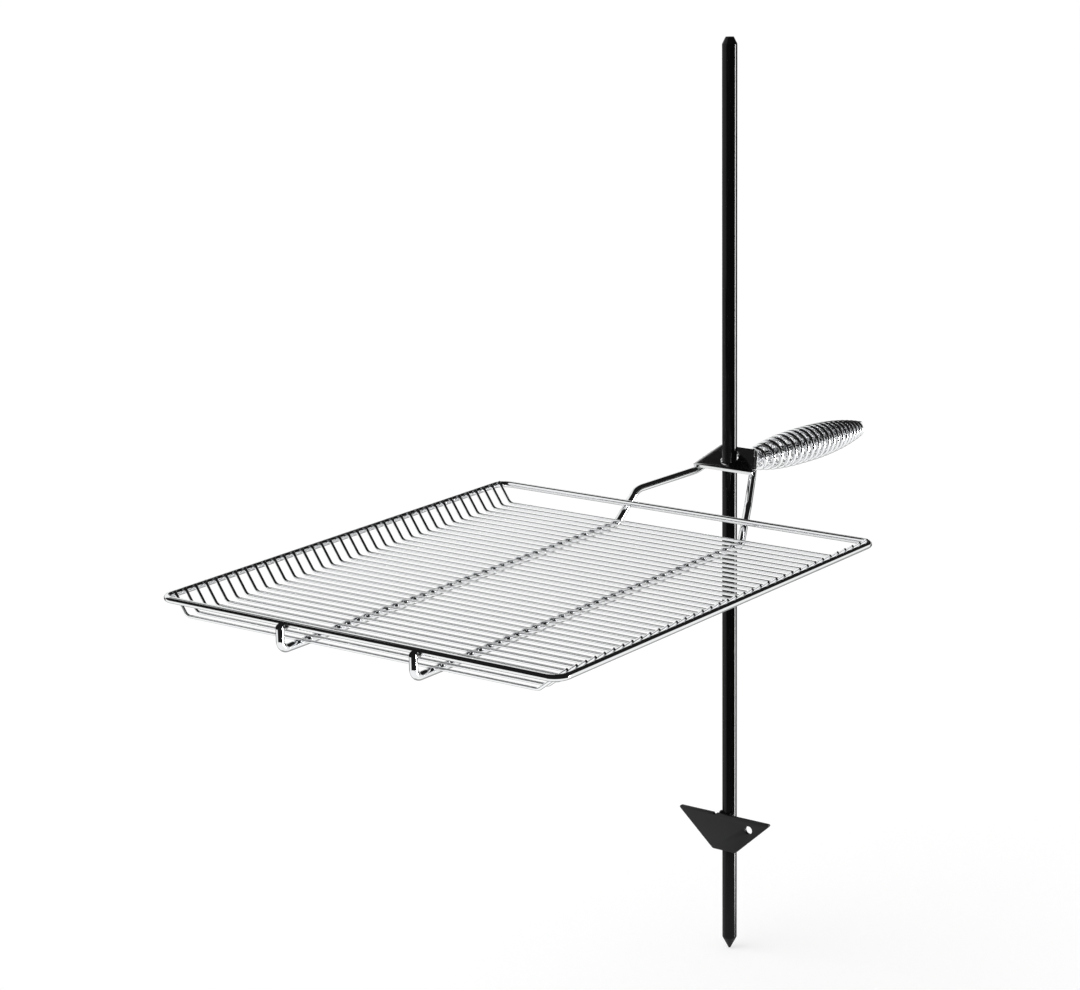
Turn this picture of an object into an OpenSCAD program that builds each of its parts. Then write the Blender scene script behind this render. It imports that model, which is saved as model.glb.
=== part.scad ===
// Campfire grill: a stake pole with a foot plate, and a wire grate that slides and swings on the pole.
// Lengths are in millimetres and angles in degrees.
// X runs across the grate, -Y towards its front edge and +Z up the pole.
// The origin is on the pole's axis, level with the lower edge of the foot plate.

/* [Pole] */
// Diameter of the round bar
pole_d = 12; // [11:0.5:13]
// Length from the tip to the top
pole_length = 760; // [720:10:900]
// Length below the foot plate
spike_length = 89; // [70:1:110]
// Length of the pointed tip
tip_length = 10; // [7:1:14]
// Diameter of the blunt end of the tip
tip_flat_d = 1.6; // [1:0.2:3]
// Height of the bevel round the top
top_bevel = 5.5; // [3:0.5:8]
// Diameter of the flat top inside the bevel
top_flat_d = 6.6; // [5:0.2:9]

/* [Foot plate] */
// Width of the top edge, before its tips are rounded
foot_width = 91; // [80:1:100]
// Width of the bottom edge, before its corners are rounded
foot_bottom = 22; // [18:1:28]
// Height of the plate
foot_height = 31.5; // [28:0.5:36]
// Thickness of the sheet
foot_t = 3; // [2:0.5:4]
// Radius of the two tips
foot_tip_r = 1.2; // [0.8:0.2:2]
// Radius of the two bottom corners
foot_corner_r = 3; // [1:0.5:4]
// Diameter of the hole for a peg
foot_hole_d = 7; // [5:0.5:8]
// Distance of the hole from the pole's axis
foot_hole_x = 24; // [20:1:28]
// Distance of the hole below the top edge
foot_hole_drop = 8.7; // [7:0.1:10]
// Diameter of the half-round notch in the top edge
foot_notch_d = 3; // [2:0.5:4]
// Distance of the notch from the pole's axis
foot_notch_x = 9; // [8.5:0.5:12]
// Diameter of the weld beads behind the plate
foot_weld_d = 4; // [3.5:0.1:4.5]

/* [Bracket] */
// Height of the middle of the bracket above the origin
grill_height = 332; // [120:1:600]
// Width of the bracket plate at its front
plate_front = 57; // [52:1:62]
// Width of the bracket plate at its back
plate_back = 32; // [30:1:38]
// Depth of the bracket plate along its slope
plate_depth = 26.7; // [25:0.1:29]
// Thickness of the bracket plate
plate_t = 3; // [2:0.5:4]
// Slope of the bracket plate, rising to the back
plate_tilt = 30; // [26:1:34]
// Distance of the hole's middle behind the front edge
hole_setback = 12; // [11.5:0.1:13]
// Wall of the guide ring in the hole
ring_wall = 1; // [0.8:0.1:1.2]
// Height of the guide ring
ring_height = 5; // [4:0.5:6]
// Distance of the guide ring's middle below the plate's middle
ring_drop = 4.5; // [4:0.1:5]

/* [Grate] */
// Overall width of the rim
grate_width = 356; // [300:1:420]
// Overall depth of the rim
grate_depth = 412; // [380:1:460]
// Diameter of the rim's bar
rim_d = 5; // [4:0.5:6]
// Radius of the rim's corners, on the bar's middle line
rim_corner_r = 10; // [8:1:20]
// Drop from the bracket's middle to the rim's middle line
rim_drop = 27.2; // [25:0.1:29]
// Distance of the rim's back bar in front of the pole's axis
rim_reach = 73.1; // [70:0.1:78]
// Diameter of the cross wires
wire_d = 2.5; // [2:0.1:3]
// Distance of the first wire behind the rim's front bar
first_wire = 11; // [9:0.5:14]
// Distance of the last wire in front of the rim's back bar
last_wire = 7.2; // [6.8:0.1:9]
// Depth of the tray, from the rim's middle line to the wires' middle line
tray_depth = 13.8; // [12:0.1:16]
// Lean of the wires' raised left ends from upright
left_lean = 34; // [28:1:40]
// Lean of the wires' raised right ends from upright
right_lean = 53; // [44:1:56]
// Bend radius of the wires, on their middle line
wire_bend_r = 5.5; // [4:0.5:7]
// Length by which the wires' ends stand past the place where they touch the rim
wire_over = 1.2; // [0.8:0.1:2]

/* [Support rods] */
// Diameter of the two rods
rod_d = 6; // [5:0.5:6.5]
// Distance between the rods' axes under the grate
rod_spread = 118; // [100:1:140]
// Radius of the bend at the front hooks
hook_bend_r = 7; // [6:0.5:9]
// Height of the hooks' points above the rim's middle line
hook_over = 1.5; // [0.5:0.1:2]
// Slant of the cut at the top of the hooks
hook_slant = 34; // [20:1:40]
// Distance of the foot of the rise in front of the pole's axis
rise_foot = 76.7; // [76.2:0.1:77]
// Distance of the head of the rise in front of the pole's axis
rise_head = 55.8; // [54:0.1:57]
// Drop from the bracket's middle to the head of the rise
rise_drop = 19.6; // [19:0.1:21]
// Distance by which each rod draws in on the rise
rise_in = 6.4; // [5:0.1:8]
// Radius of the bend at the foot of the rise
foot_bend_r = 8; // [7:0.5:9]
// Radius of the bend at the head of the rise
head_bend_r = 14; // [10:1:16]
// Distance of the rods' axes inside the plate's side edges
rod_inset = 2; // [1.5:0.1:2.3]
// Radius of the bend at the plate's front edge
edge_bend_r = 20; // [15:1:25]
// Length by which the rods' bend stands past the plate's back edge
arch_past = 3.5; // [3:0.1:5]
// Radius of the bend behind the plate
arch_bend_r = 14; // [12:0.5:15]
// Radius of the bend into the handle
neck_bend_r = 10; // [8:0.5:11]
// Gap between the two rods inside the handle
pair_gap = 0.3; // [0.2:0.1:0.5]
// Length of the rods inside the handle
rod_tail = 141; // [120:1:143]

/* [Handle] */
// Diameter of the handle's wire
coil_wire_d = 3.2; // [2.4:0.1:3.2]
// Distance of the first turn behind the pole's axis
coil_start = 39; // [38:0.5:45]
// Drop from the bracket's middle to the handle's axis at the first turn
coil_drop = 6.5; // [6:0.1:8]
// Droop of the handle's axis towards its far end
coil_droop = 2.4; // [0:0.1:4]
// Length of the coil along its axis
coil_length = 168; // [160:1:190]
// Radius of the first turn, on the wire's middle line
coil_start_r = 8; // [8:0.1:9]
// Radius at the widest place
coil_middle_r = 13.5; // [12:0.1:16]
// Radius of the last turn
coil_end_r = 4.6; // [4.5:0.1:6]
// Number of turns
coil_turns = 20; // [18:1:20]
// Share of the length at which the coil is widest
middle_share = 0.42; // [0.35:0.01:0.5]
// Share by which the first turns are wider spaced than the mean
spread_share = 0.21; // [0:0.01:0.25]

/* [Clearances] */
// Radial play of the guide ring on the pole
running_gap = 0.05; // [0.03:0.01:0.08]
// Radial play of the bracket plate round the guide ring
swivel_gap = 0.3; // [0.2:0.05:0.4]
// Gap left where welded bars touch
weld_gap = 0.05; // [0.03:0.01:0.08]

/* [Hidden] */
$fn = 48;
wire_count = 37;
curl_rings = 8;
coil_sides = 6;
wire_sides = 8;
rod_sides = 12;
tail_steps = 3;
// Rings next to each other along the coil's wire that are left out of its gap
near_rings = curl_rings - 3;
// Largest turn from one ring to the next in the bends of the wires and of the rods
wire_step = 14;
rod_step = 15;
// Shares of the bars' and plates' own sizes
foot_weld_x_share = 5 / 6;
foot_weld_share = 3 / 8;
ring_bevel_share = 0.3;
edge_weld_share = 4 / 3;
edge_weld_out_share = 1 / 3;
edge_weld_length_share = 0.6;
hook_weld_share = 0.6;
neck_share = 5 / 6;

// Pole and foot plate
pole_r = pole_d / 2;
pole_top = pole_length - spike_length;
foot_back_y = -pole_r - weld_gap;
foot_weld_x = pole_r * foot_weld_x_share;
foot_weld_over = foot_weld_d * foot_weld_share;
foot_weld_y = foot_back_y + foot_weld_over;

// Guide ring and bracket plate
ring_inner_r = pole_r + running_gap;
ring_outer_r = ring_inner_r + ring_wall;
hole_r = ring_outer_r + swivel_gap;
ring_bevel = ring_wall * ring_bevel_share;
plate_back_s = plate_depth - hole_setback;
rod_n = -(plate_t + rod_d) / 2 - weld_gap;
edge_weld_d = plate_t * edge_weld_share;
edge_weld_out = plate_t * edge_weld_out_share;
edge_weld_length = plate_depth * edge_weld_length_share;

// Rim and cross wires
rim_x = (grate_width - rim_d) / 2;
rim_back_y = -rim_reach;
rim_front_y = rim_back_y - (grate_depth - rim_d);
rim_z = -rim_drop;
base_z = rim_z - tray_depth;
wire_pitch = (grate_depth - rim_d - first_wire - last_wire) / (wire_count - 1);
touch_r = (rim_d + wire_d) / 2 + weld_gap;

// Support rods
rod_x = rod_spread / 2;
rod_z = base_z - (wire_d + rod_d) / 2 - weld_gap;
hook_y = rim_front_y - (rim_d + rod_d) / 2 - weld_gap;
hook_weld_d = rod_d * hook_weld_share;
shear_block = 3 * rod_d;
tail_x = (rod_d + pair_gap) / 2;
neck_y = coil_start - rod_d * neck_share;

// Handle coil
coil_dir = [0, cos(coil_droop), -sin(coil_droop)];
coil_up = [0, sin(coil_droop), cos(coil_droop)];
coil_base = [0, coil_start, -coil_drop];
coil_pitch = coil_length / coil_turns;
coil_foot = rod_d / 2 + weld_gap;
coil_tail_r = coil_start_r - coil_foot - coil_wire_d;
coil_point_count = coil_turns * curl_rings;

// Length by which every cut runs past what it cuts
overrun = rod_d;

WIRE_NODES = [for (i = [1 : wire_count]) str("cross_wire_", i < 10 ? "0" : "", i)];

function unit(v) = v / norm(v);

// Angle of the bend at b on the way from a to c
function bend_angle(a, b, c) = acos(unit(b - a) * unit(c - b));

// Points of the bend at b, in even steps no larger than step, on the way from a to c
function bend_points(a, b, c, r, step) = let (
        angle = bend_angle(a, b, c),
        ahead = unit(b - a),
        after = unit(c - b),
        inward = unit(after - ahead * (ahead * after)),
        start = b - ahead * r * tan(angle / 2),
        steps = ceil(angle / step))
    [for (k = [0 : steps]) let (turned = angle * k / steps)
        start + ahead * r * sin(turned) + inward * r * (1 - cos(turned))];

// Middle line of a bar bent at each corner of a route, to a radius for each corner
function bent_path(points, radii, step) = let (last = len(points) - 1)
    concat(
        [points[0]],
        [for (i = [1 : last - 1])
            for (p = bend_points(points[i - 1], points[i], points[i + 1], radii[i - 1], step)) p],
        [points[last]]);

// Point on the sloping bracket plate: across it, along its slope and square to it
function plate_point(x, along, square_to) = [
    x,
    along * cos(plate_tilt) - square_to * sin(plate_tilt),
    along * sin(plate_tilt) + square_to * cos(plate_tilt)
];

// Half width of the bracket plate at a place along its slope
function plate_edge_x(along) =
    plate_front / 2 - (plate_front - plate_back) / 2 * (along + hole_setback) / plate_depth;

// Route of the right support rod, from the hook to its end inside the handle
function rod_points() = [
    [rod_x, hook_y, rim_z + hook_over + overrun],
    [rod_x, hook_y, rod_z],
    [rod_x, -rise_foot, rod_z],
    [rod_x - rise_in, -rise_head, -rise_drop],
    plate_point(plate_edge_x(-hole_setback) - rod_inset, -hole_setback, rod_n),
    plate_point(plate_edge_x(plate_back_s + arch_past) - rod_inset, plate_back_s + arch_past, rod_n),
    handle_point(tail_x, 0, neck_y - coil_start),
    handle_point(tail_x, 0, rod_tail)
];
rod_radii = [hook_bend_r, foot_bend_r, head_bend_r, edge_bend_r, arch_bend_r, neck_bend_r];

// Route of a cross wire's raised end on one side: its cut end past the rim, then the corner at its foot
function wire_side(side, lean) = [
    [side * (rim_x - touch_r * cos(lean) + wire_over * sin(lean)),
     rim_z + touch_r * sin(lean) + wire_over * cos(lean)],
    [side * (rim_x - touch_r * cos(lean) - (tray_depth + touch_r * sin(lean)) * tan(lean)), base_z]
];
function wire_y(i) = rim_back_y - last_wire - wire_pitch * (wire_count - i);
function wire_points(i) = let (
        left = wire_side(-1, left_lean),
        right = wire_side(1, right_lean),
        y = wire_y(i))
    [for (p = [left[0], left[1], right[1], right[0]]) [p.x, y, p.y]];
wire_radii = [wire_bend_r, wire_bend_r];

// Point in the handle's own frame: to the right, up and along its axis
function handle_point(right, up, along) = coil_base + [right, 0, 0] + coil_up * up + coil_dir * along;

// Radius of the coil at a share of its length: full towards the bracket, tapered to the far end
function coil_r(share) = share < middle_share
    ? coil_middle_r - (coil_middle_r - coil_start_r) * pow(1 - share / middle_share, 3)
    : coil_middle_r - (coil_middle_r - coil_end_r) * pow((share - middle_share) / (1 - middle_share), 2);

// Distance along the axis after a number of turns, with the turns closing up to the far end
function coil_along(turn) =
    coil_pitch * turn * (1 + spread_share - spread_share * turn / coil_turns);

function coil_point(i) = let (turn = i / curl_rings, r = coil_r(turn / coil_turns))
    handle_point(r * sin(360 * turn), r * cos(360 * turn), coil_along(turn));

// The wire starts square on the left rod, bends over into the first turn and ends in a straight stretch
coil_tail = concat(
    [handle_point(-tail_x, coil_foot, 0)],
    [for (k = [0 : tail_steps]) let (a = 90 * k / tail_steps)
        handle_point(coil_tail_r * (1 - cos(a)) - tail_x,
                     coil_start_r - coil_tail_r * (1 - sin(a)), 0)]);
coil_turn_points = [for (i = [0 : coil_point_count]) coil_point(i)];
coil_path = concat(
    coil_tail,
    coil_turn_points,
    [coil_point(coil_point_count)
     + unit(coil_point(coil_point_count) - coil_point(coil_point_count - 1)) * coil_wire_d]);

// Least gap between parts of the coil's wire that are more than half a turn apart
coil_gap = min([for (i = [0 : len(coil_path) - near_rings - 1])
    for (j = [i + near_rings : len(coil_path) - 1]) norm(coil_path[i] - coil_path[j])]) - coil_wire_d;
echo(str("least gap of the handle coil to itself, mm: ", coil_gap));

module straight(from, to, d) {
    way = to - from;
    translate(from)
        rotate([0, acos(way.z / norm(way)), atan2(way.y, way.x)])
            cylinder(d = d, h = norm(way));
}

// Round bar swept along a path in flat rings, each with a corner square to the path and to side
module swept_bar(path, d, sides, side) {
    last = len(path) - 1;
    rings = [for (i = [0 : last])
        let (ahead = unit(path[min(i + 1, last)] - path[max(i - 1, 0)]),
             out = unit(cross(ahead, side)),
             across = cross(ahead, out))
        for (j = [0 : sides - 1])
            path[i] + (out * cos(360 * j / sides) + across * sin(360 * j / sides)) * d / 2];
    walls = [for (i = [0 : last - 1]) for (j = [0 : sides - 1])
        let (here = i * sides, next = here + sides, k = (j + 1) % sides)
        for (face = [[here + j, next + j, next + k], [here + j, next + k, here + k]]) face];
    first_cap = [for (j = [1 : sides - 2]) [0, j, j + 1]];
    last_cap = [for (j = [1 : sides - 2]) [0, j + 1, j]];
    polyhedron(
        points = rings,
        faces = concat(walls, first_cap, [for (face = last_cap) [for (n = face) n + last * sides]]));
}

// Outline with every corner rounded to its own radius
module rounded_outline(points, radii) {
    count = len(points);
    corners = [for (i = [0 : count - 1])
        let (p = points[i],
             back = unit(points[(i + count - 1) % count] - p),
             on = unit(points[(i + 1) % count] - p),
             half = acos(back * on) / 2,
             reach = radii[i] / tan(half))
        [p + back * reach, p + on * reach, p + unit(back + on) * radii[i] / sin(half)]];
    polygon([for (c = corners) for (p = [c[0], c[1]]) p]);
    for (i = [0 : count - 1]) {
        translate(corners[i][2])
            circle(r = radii[i]);
    }
}

module on_grill() {
    translate([0, 0, grill_height])
        children();
}

module pole() {
    color([0.06, 0.06, 0.07])
        rotate_extrude()
            polygon([
                [0, -spike_length],
                [tip_flat_d / 2, -spike_length],
                [pole_r, tip_length - spike_length],
                [pole_r, pole_top - top_bevel],
                [top_flat_d / 2, pole_top],
                [0, pole_top]
            ]);
}

module foot_plate() {
    color([0.08, 0.08, 0.09])
        translate([0, foot_back_y, 0])
            rotate([90, 0, 0])
                linear_extrude(foot_t)
                    difference() {
                        rounded_outline(
                            [[-foot_bottom / 2, 0], [foot_bottom / 2, 0],
                             [foot_width / 2, foot_height], [-foot_width / 2, foot_height]],
                            [foot_corner_r, foot_corner_r, foot_tip_r, foot_tip_r]);
                        translate([foot_hole_x, foot_height - foot_hole_drop])
                            circle(d = foot_hole_d);
                        translate([-foot_notch_x, foot_height])
                            circle(d = foot_notch_d);
                    }
}

// Weld bead in the corner between the pole and the foot plate
module foot_weld(side) {
    color([0.1, 0.1, 0.11])
        linear_extrude(foot_height + foot_weld_over)
            difference() {
                translate([side * foot_weld_x, foot_weld_y])
                    circle(d = foot_weld_d);
                circle(d = pole_d);
                translate([-foot_width / 2, foot_back_y - foot_t])
                    square([foot_width, foot_t]);
            }
}

// Bush that slides on the pole, with the low front edge of the plate's hole round it
module guide_ring() {
    color([0.75, 0.76, 0.78])
        on_grill()
            translate([0, 0, -ring_drop - ring_height / 2])
                rotate_extrude()
                    polygon([
                        [ring_inner_r, 0],
                        [ring_outer_r - ring_bevel, 0],
                        [ring_outer_r, ring_bevel],
                        [ring_outer_r, ring_height - ring_bevel],
                        [ring_outer_r - ring_bevel, ring_height],
                        [ring_inner_r, ring_height]
                    ]);
}

module plate_blank() {
    rotate([plate_tilt, 0, 0])
        translate([0, 0, -plate_t / 2])
            linear_extrude(plate_t)
                polygon([
                    [-plate_front / 2, -hole_setback],
                    [plate_front / 2, -hole_setback],
                    [plate_back / 2, plate_back_s],
                    [-plate_back / 2, plate_back_s]
                ]);
}

module bracket_plate() {
    color([0.78, 0.79, 0.8])
        on_grill()
            difference() {
                plate_blank();
                translate([0, 0, -plate_depth / 2])
                    cylinder(r = hole_r, h = plate_depth);
            }
}

// Weld bead along the plate's right edge, between the plate's side and the rod under it
module bracket_weld() {
    middle = (plate_back_s - hole_setback) / 2;
    start = middle - edge_weld_length / 2;
    end = middle + edge_weld_length / 2;
    points = rod_points();
    color([0.5, 0.5, 0.5])
        on_grill()
            difference() {
                straight(
                    plate_point(plate_edge_x(start) + edge_weld_out, start, -edge_weld_out),
                    plate_point(plate_edge_x(end) + edge_weld_out, end, -edge_weld_out),
                    edge_weld_d);
                plate_blank();
                straight(points[4], points[5], rod_d);
            }
}

module support_rod() {
    color([0.75, 0.76, 0.78])
        on_grill()
            difference() {
                swept_bar(bent_path(rod_points(), rod_radii, rod_step), rod_d, rod_sides, [1, 0, 0]);
                translate([rod_x, hook_y + rod_d / 2, rim_z + hook_over])
                    rotate([hook_slant, 0, 0])
                        translate([0, 0, shear_block / 2])
                            cube(shear_block, center = true);
            }
}

// Two small weld beads where the right rod's hook meets the rim
module hook_weld() {
    rim_from = [rod_x - overrun, rim_front_y, rim_z];
    rim_to = [rod_x + overrun, rim_front_y, rim_z];
    color([0.55, 0.55, 0.56])
        on_grill()
            for (side = [-1, 1]) {
                difference() {
                    translate([rod_x + side * rod_d / 2, hook_y + rod_d / 2, rim_z - rim_d / 2])
                        sphere(d = hook_weld_d);
                    straight([rod_x, hook_y, rod_z], [rod_x, hook_y, rim_z + overrun], rod_d);
                    straight(rim_from, rim_to, rim_d);
                }
            }
}

// Right back quarter of the rim, about the rim's middle
module rim_quarter() {
    half_side = (grate_depth - rim_d) / 2 - rim_corner_r;
    half_back = rim_x - rim_corner_r;
    translate([rim_x, 0, 0])
        rotate([-90, 0, 0])
            cylinder(d = rim_d, h = half_side);
    translate([half_back, half_side, 0])
        rotate_extrude(angle = 90)
            translate([rim_corner_r, 0])
                circle(d = rim_d);
    translate([0, half_side + rim_corner_r, 0])
        rotate([0, 90, 0])
            cylinder(d = rim_d, h = half_back);
}

module rim_half() {
    rim_quarter();
    mirror([0, 1, 0])
        rim_quarter();
}

module rim() {
    color([0.8, 0.81, 0.82])
        on_grill()
            translate([0, (rim_front_y + rim_back_y) / 2, rim_z]) {
                rim_half();
                mirror([1, 0, 0])
                    rim_half();
            }
}

module cross_wire(i) {
    color([0.82, 0.83, 0.84])
        on_grill()
            swept_bar(bent_path(wire_points(i), wire_radii, wire_step), wire_d, wire_sides, [0, 1, 0]);
}

module handle_coil() {
    color([0.7, 0.71, 0.73])
        on_grill()
            swept_bar(coil_path, coil_wire_d, coil_sides, coil_dir);
}

pole();
foot_plate();
foot_weld(-1);  // foot_weld_left
foot_weld(1);  // foot_weld_right
guide_ring();
bracket_plate();
mirror([1, 0, 0]) bracket_weld();  // bracket_weld_left
bracket_weld();  // bracket_weld_right
mirror([1, 0, 0]) support_rod();  // support_rod_left
support_rod();  // support_rod_right
mirror([1, 0, 0]) hook_weld();  // hook_weld_left
hook_weld();  // hook_weld_right
rim();
handle_coil();
for (i = [1 : wire_count]) {
    cross_wire(i);
}
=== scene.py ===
# %% [markdown]
# # Campfire grill
# A black stake goes into the ground beside the fire, and a chromed wire grate slides and swings on it.
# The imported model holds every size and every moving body. This script dresses it: it makes smooth bars, wires
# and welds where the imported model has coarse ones, gives each surface its finish, and sets up a plain studio.

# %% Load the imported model
import math

import bmesh
import bpy
from mathutils import Matrix, Vector


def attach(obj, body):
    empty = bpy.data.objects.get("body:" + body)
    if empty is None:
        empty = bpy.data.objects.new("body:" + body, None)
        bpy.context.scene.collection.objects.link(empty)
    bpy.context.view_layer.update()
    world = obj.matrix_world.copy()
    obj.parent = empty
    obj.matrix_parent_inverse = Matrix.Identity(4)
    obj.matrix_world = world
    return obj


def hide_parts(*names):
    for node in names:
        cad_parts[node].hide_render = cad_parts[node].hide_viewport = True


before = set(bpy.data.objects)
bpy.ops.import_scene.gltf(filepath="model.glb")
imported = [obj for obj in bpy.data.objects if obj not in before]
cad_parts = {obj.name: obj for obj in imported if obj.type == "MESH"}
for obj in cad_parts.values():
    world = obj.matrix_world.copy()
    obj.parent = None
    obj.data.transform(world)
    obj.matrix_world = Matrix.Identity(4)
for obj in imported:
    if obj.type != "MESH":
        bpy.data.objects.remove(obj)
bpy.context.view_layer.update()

# %% [markdown]
# ## Sizes
# Blender counts in metres, so every length is written in millimetres times MM. The names are those of the
# real pieces. A size that follows from others is worked out from them, so that the pieces keep touching.

# %% Sizes of the stake
MM = 0.001
pole_radius = 6 * MM
pole_top = 671 * MM
spike_depth = 89 * MM
tip_length = 10 * MM
tip_flat_radius = 0.8 * MM
top_bevel = 5.5 * MM
top_flat_radius = 3.3 * MM
weld_gap = 0.05 * MM

foot_top_width = 91 * MM
foot_bottom_width = 22 * MM
foot_height = 31.5 * MM
foot_thickness = 3 * MM
foot_hole_radius = 3.5 * MM
foot_hole_at = (24 * MM, 22.8 * MM)
foot_notch_radius = 1.5 * MM
foot_notch_x = -9 * MM
foot_back_y = -pole_radius - weld_gap
print("pole height above its tip, mm:", round((pole_top + spike_depth) / MM, 1))

# %% Sizes of the grill
grill_height = 332 * MM
plate_front = 57 * MM
plate_back = 32 * MM
plate_depth = 26.7 * MM
plate_thickness = 3 * MM
plate_tilt = math.radians(30)
hole_setback = 12 * MM
ring_inner = pole_radius + 0.05 * MM
ring_outer = ring_inner + 1 * MM
hole_radius = ring_outer + 0.3 * MM

rim_radius = 2.5 * MM
rim_x = 175.5 * MM
rim_back = -73.1 * MM
rim_front = -480.1 * MM
rim_z = -27.2 * MM
rim_corner = 10 * MM

wire_radius = 1.25 * MM
wire_count = 37
first_wire = 11 * MM
last_wire = 7.2 * MM
wire_pitch = (rim_back - rim_front - first_wire - last_wire) / (wire_count - 1)
tray_depth = 13.8 * MM
tray_z = rim_z - tray_depth
left_lean = math.radians(34)
right_lean = math.radians(53)
wire_over = 1.2 * MM
wire_bend = 5.5 * MM

rod_radius = 3 * MM
rod_x = 59 * MM
rod_inset = 2 * MM
hook_over = 7.5 * MM
hook_slant = math.radians(34)
rise_foot_y = -76.7 * MM
rise_head = (52.6 * MM, -55.8 * MM, -19.6 * MM)
hook_bend, foot_bend, head_bend = 7 * MM, 8 * MM, 14 * MM
edge_bend, arch_bend, neck_bend = 20 * MM, 14 * MM, 10 * MM
arch_past = 3.5 * MM
neck_back = 5 * MM
shear_height = 1.5 * MM
rod_z = tray_z - wire_radius - rod_radius - weld_gap
hook_y = rim_front - rim_radius - rod_radius - weld_gap
print("wire pitch, mm:", round(wire_pitch / MM, 2))

# %% Sizes of the handle
coil_wire_radius = 1.6 * MM
coil_start = 39 * MM
coil_drop = 6.5 * MM
coil_droop = math.radians(2.4)
coil_length = 168 * MM
coil_start_radius = 8 * MM
coil_widest_radius = 13.5 * MM
coil_end_radius = 4.6 * MM
coil_turns = 20
coil_stub = 2.5 * MM
widest_share = 0.42
spread_share = 0.21
tail_x = rod_radius + 0.15 * MM
rod_tail = 141 * MM

# %% [markdown]
# ## Node trees as Python
# Shaders and Geometry Nodes are both trees of nodes with sockets. A long sum is hard to read as nodes, so the
# class Value stands for one output socket and answers to +, -, *, / by adding Math nodes. The class Tree has
# one method, add, that makes any node: its settings come first, because they decide which sockets it has.


# %% A socket that can be used in sums
class Value:
    """An output socket of a tree. Sums of Values add Math nodes."""

    def __init__(self, tree, socket):
        self.tree, self.socket = tree, socket

    def math(self, operation, *others):
        return self.tree.add("ShaderNodeMath", {"operation": operation}, [self, *others])

    def __add__(self, other):
        return self.math("ADD", other)

    __radd__ = __add__

    def __mul__(self, other):
        return self.math("MULTIPLY", other)

    __rmul__ = __mul__

    def __sub__(self, other):
        return self.math("SUBTRACT", other)

    def __rsub__(self, other):
        return self.tree.add("ShaderNodeMath", {"operation": "SUBTRACT"}, [other, self])

    def __truediv__(self, other):
        return self.math("DIVIDE", other)

    def __rtruediv__(self, other):
        return self.tree.add("ShaderNodeMath", {"operation": "DIVIDE"}, [other, self])


# %% A tree with one method for every node
class Tree:
    """A shader or geometry node tree."""

    def __init__(self, node_tree):
        self.nodes, self.links = node_tree.nodes, node_tree.links

    def add(self, kind, settings=None, inputs=None, output=0):
        """Adds a node and returns one of its outputs. Inputs are a list, or a dict by name or number."""
        node = self.nodes.new(kind)
        for key, setting in (settings or {}).items():
            setattr(node, key, setting)
        named = inputs if isinstance(inputs, dict) else dict(enumerate(inputs or []))
        for key, given in named.items():
            if isinstance(given, Value):
                self.links.new(given.socket, node.inputs[key])
            else:
                node.inputs[key].default_value = given
        return Value(self, node.outputs[output]) if node.outputs else node

    def ramp(self, value, low, high, to_low=0.0, to_high=1.0):
        """A smooth step: to_low where value is low, to_high where it is high."""
        return self.add("ShaderNodeMapRange", {"interpolation_type": "SMOOTHSTEP"},
                        [value, low, high, to_low, to_high])

    def mix(self, share, first, second):
        """The colour first where share is 0, and second where it is 1."""
        return self.add("ShaderNodeMix", {"data_type": "RGBA"}, {0: share, 6: first, 7: second}, 2)

    def noise(self, place, scale, detail=2.0, roughness=0.5):
        return self.add("ShaderNodeTexNoise", {"noise_dimensions": "3D"},
                        {"Vector": place, "Scale": scale, "Detail": detail, "Roughness": roughness})


print("helpers ready")

# %% [markdown]
# ## Finishes
# A finish is a Principled surface whose colour, roughness and bump change over the piece. Object coordinates
# place the patterns, so they are in metres: a noise of scale 100 has spots about 10 mm across. What is the same
# all over a piece is set on the shader's own socket.


# %% The common part of every finish
def finish(name, colour, roughness, height, distance, **fixed):
    """Makes a material. colour, roughness and height are functions of the tree and the place."""
    material = bpy.data.materials.new(name)
    material.use_nodes = True
    tree = Tree(material.node_tree)
    tree.nodes.clear()
    place = tree.add("ShaderNodeTexCoord", output="Object")
    bump = tree.add("ShaderNodeBump", None, {"Distance": distance, "Height": height(tree, place)})
    inputs = {"Base Color": colour(tree, place), "Roughness": roughness(tree, place), "Normal": bump}
    inputs.update({key.replace("_", " "): value for key, value in fixed.items()})
    shader = tree.add("ShaderNodeBsdfPrincipled", None, inputs)
    tree.add("ShaderNodeOutputMaterial", None, {"Surface": shader})
    print("finish:", name)
    return material


def grey(level, blue=0.0):
    """A grey of that brightness, a little bluer where blue is above nought."""
    return (level, level * (1 + blue / 2), level * (1 + blue), 1)


# %% [markdown]
# ### Chrome
# The rim, wires, rods and coil are bright-drawn steel, plated after welding. Plating is a mirror, so it needs
# little colour of its own. What tells it from glass-smooth metal is the slight waviness of the bar under it,
# a thin haze in patches and a few fine specks. All three come from noise at different scales.


# %% Chrome on bars and wires
def chrome(name, bright, haze, wave, spots):
    """Plated steel. bright is its reflectance, haze its mean roughness, wave and spots are scales."""
    def colour(tree, place):
        patches = tree.noise(place, wave * 0.6, 3)
        specks = tree.ramp(tree.noise(place, spots, 1), 0.68, 0.76)
        plating = tree.mix(patches, grey(bright * 0.93, 0.03), grey(bright, 0.01))
        return tree.mix(specks * 0.35, plating, grey(bright * 0.45, 0.02))

    def roughness(tree, place):
        patches = tree.noise(place, wave * 0.9, 4)
        return haze * 0.6 + patches * haze * 0.9

    def height(tree, place):
        return tree.noise(place, wave, 2) + tree.noise(place, spots, 1) * 0.03

    return finish(name, colour, roughness, height, 0.00001, Metallic=1.0)


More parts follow.
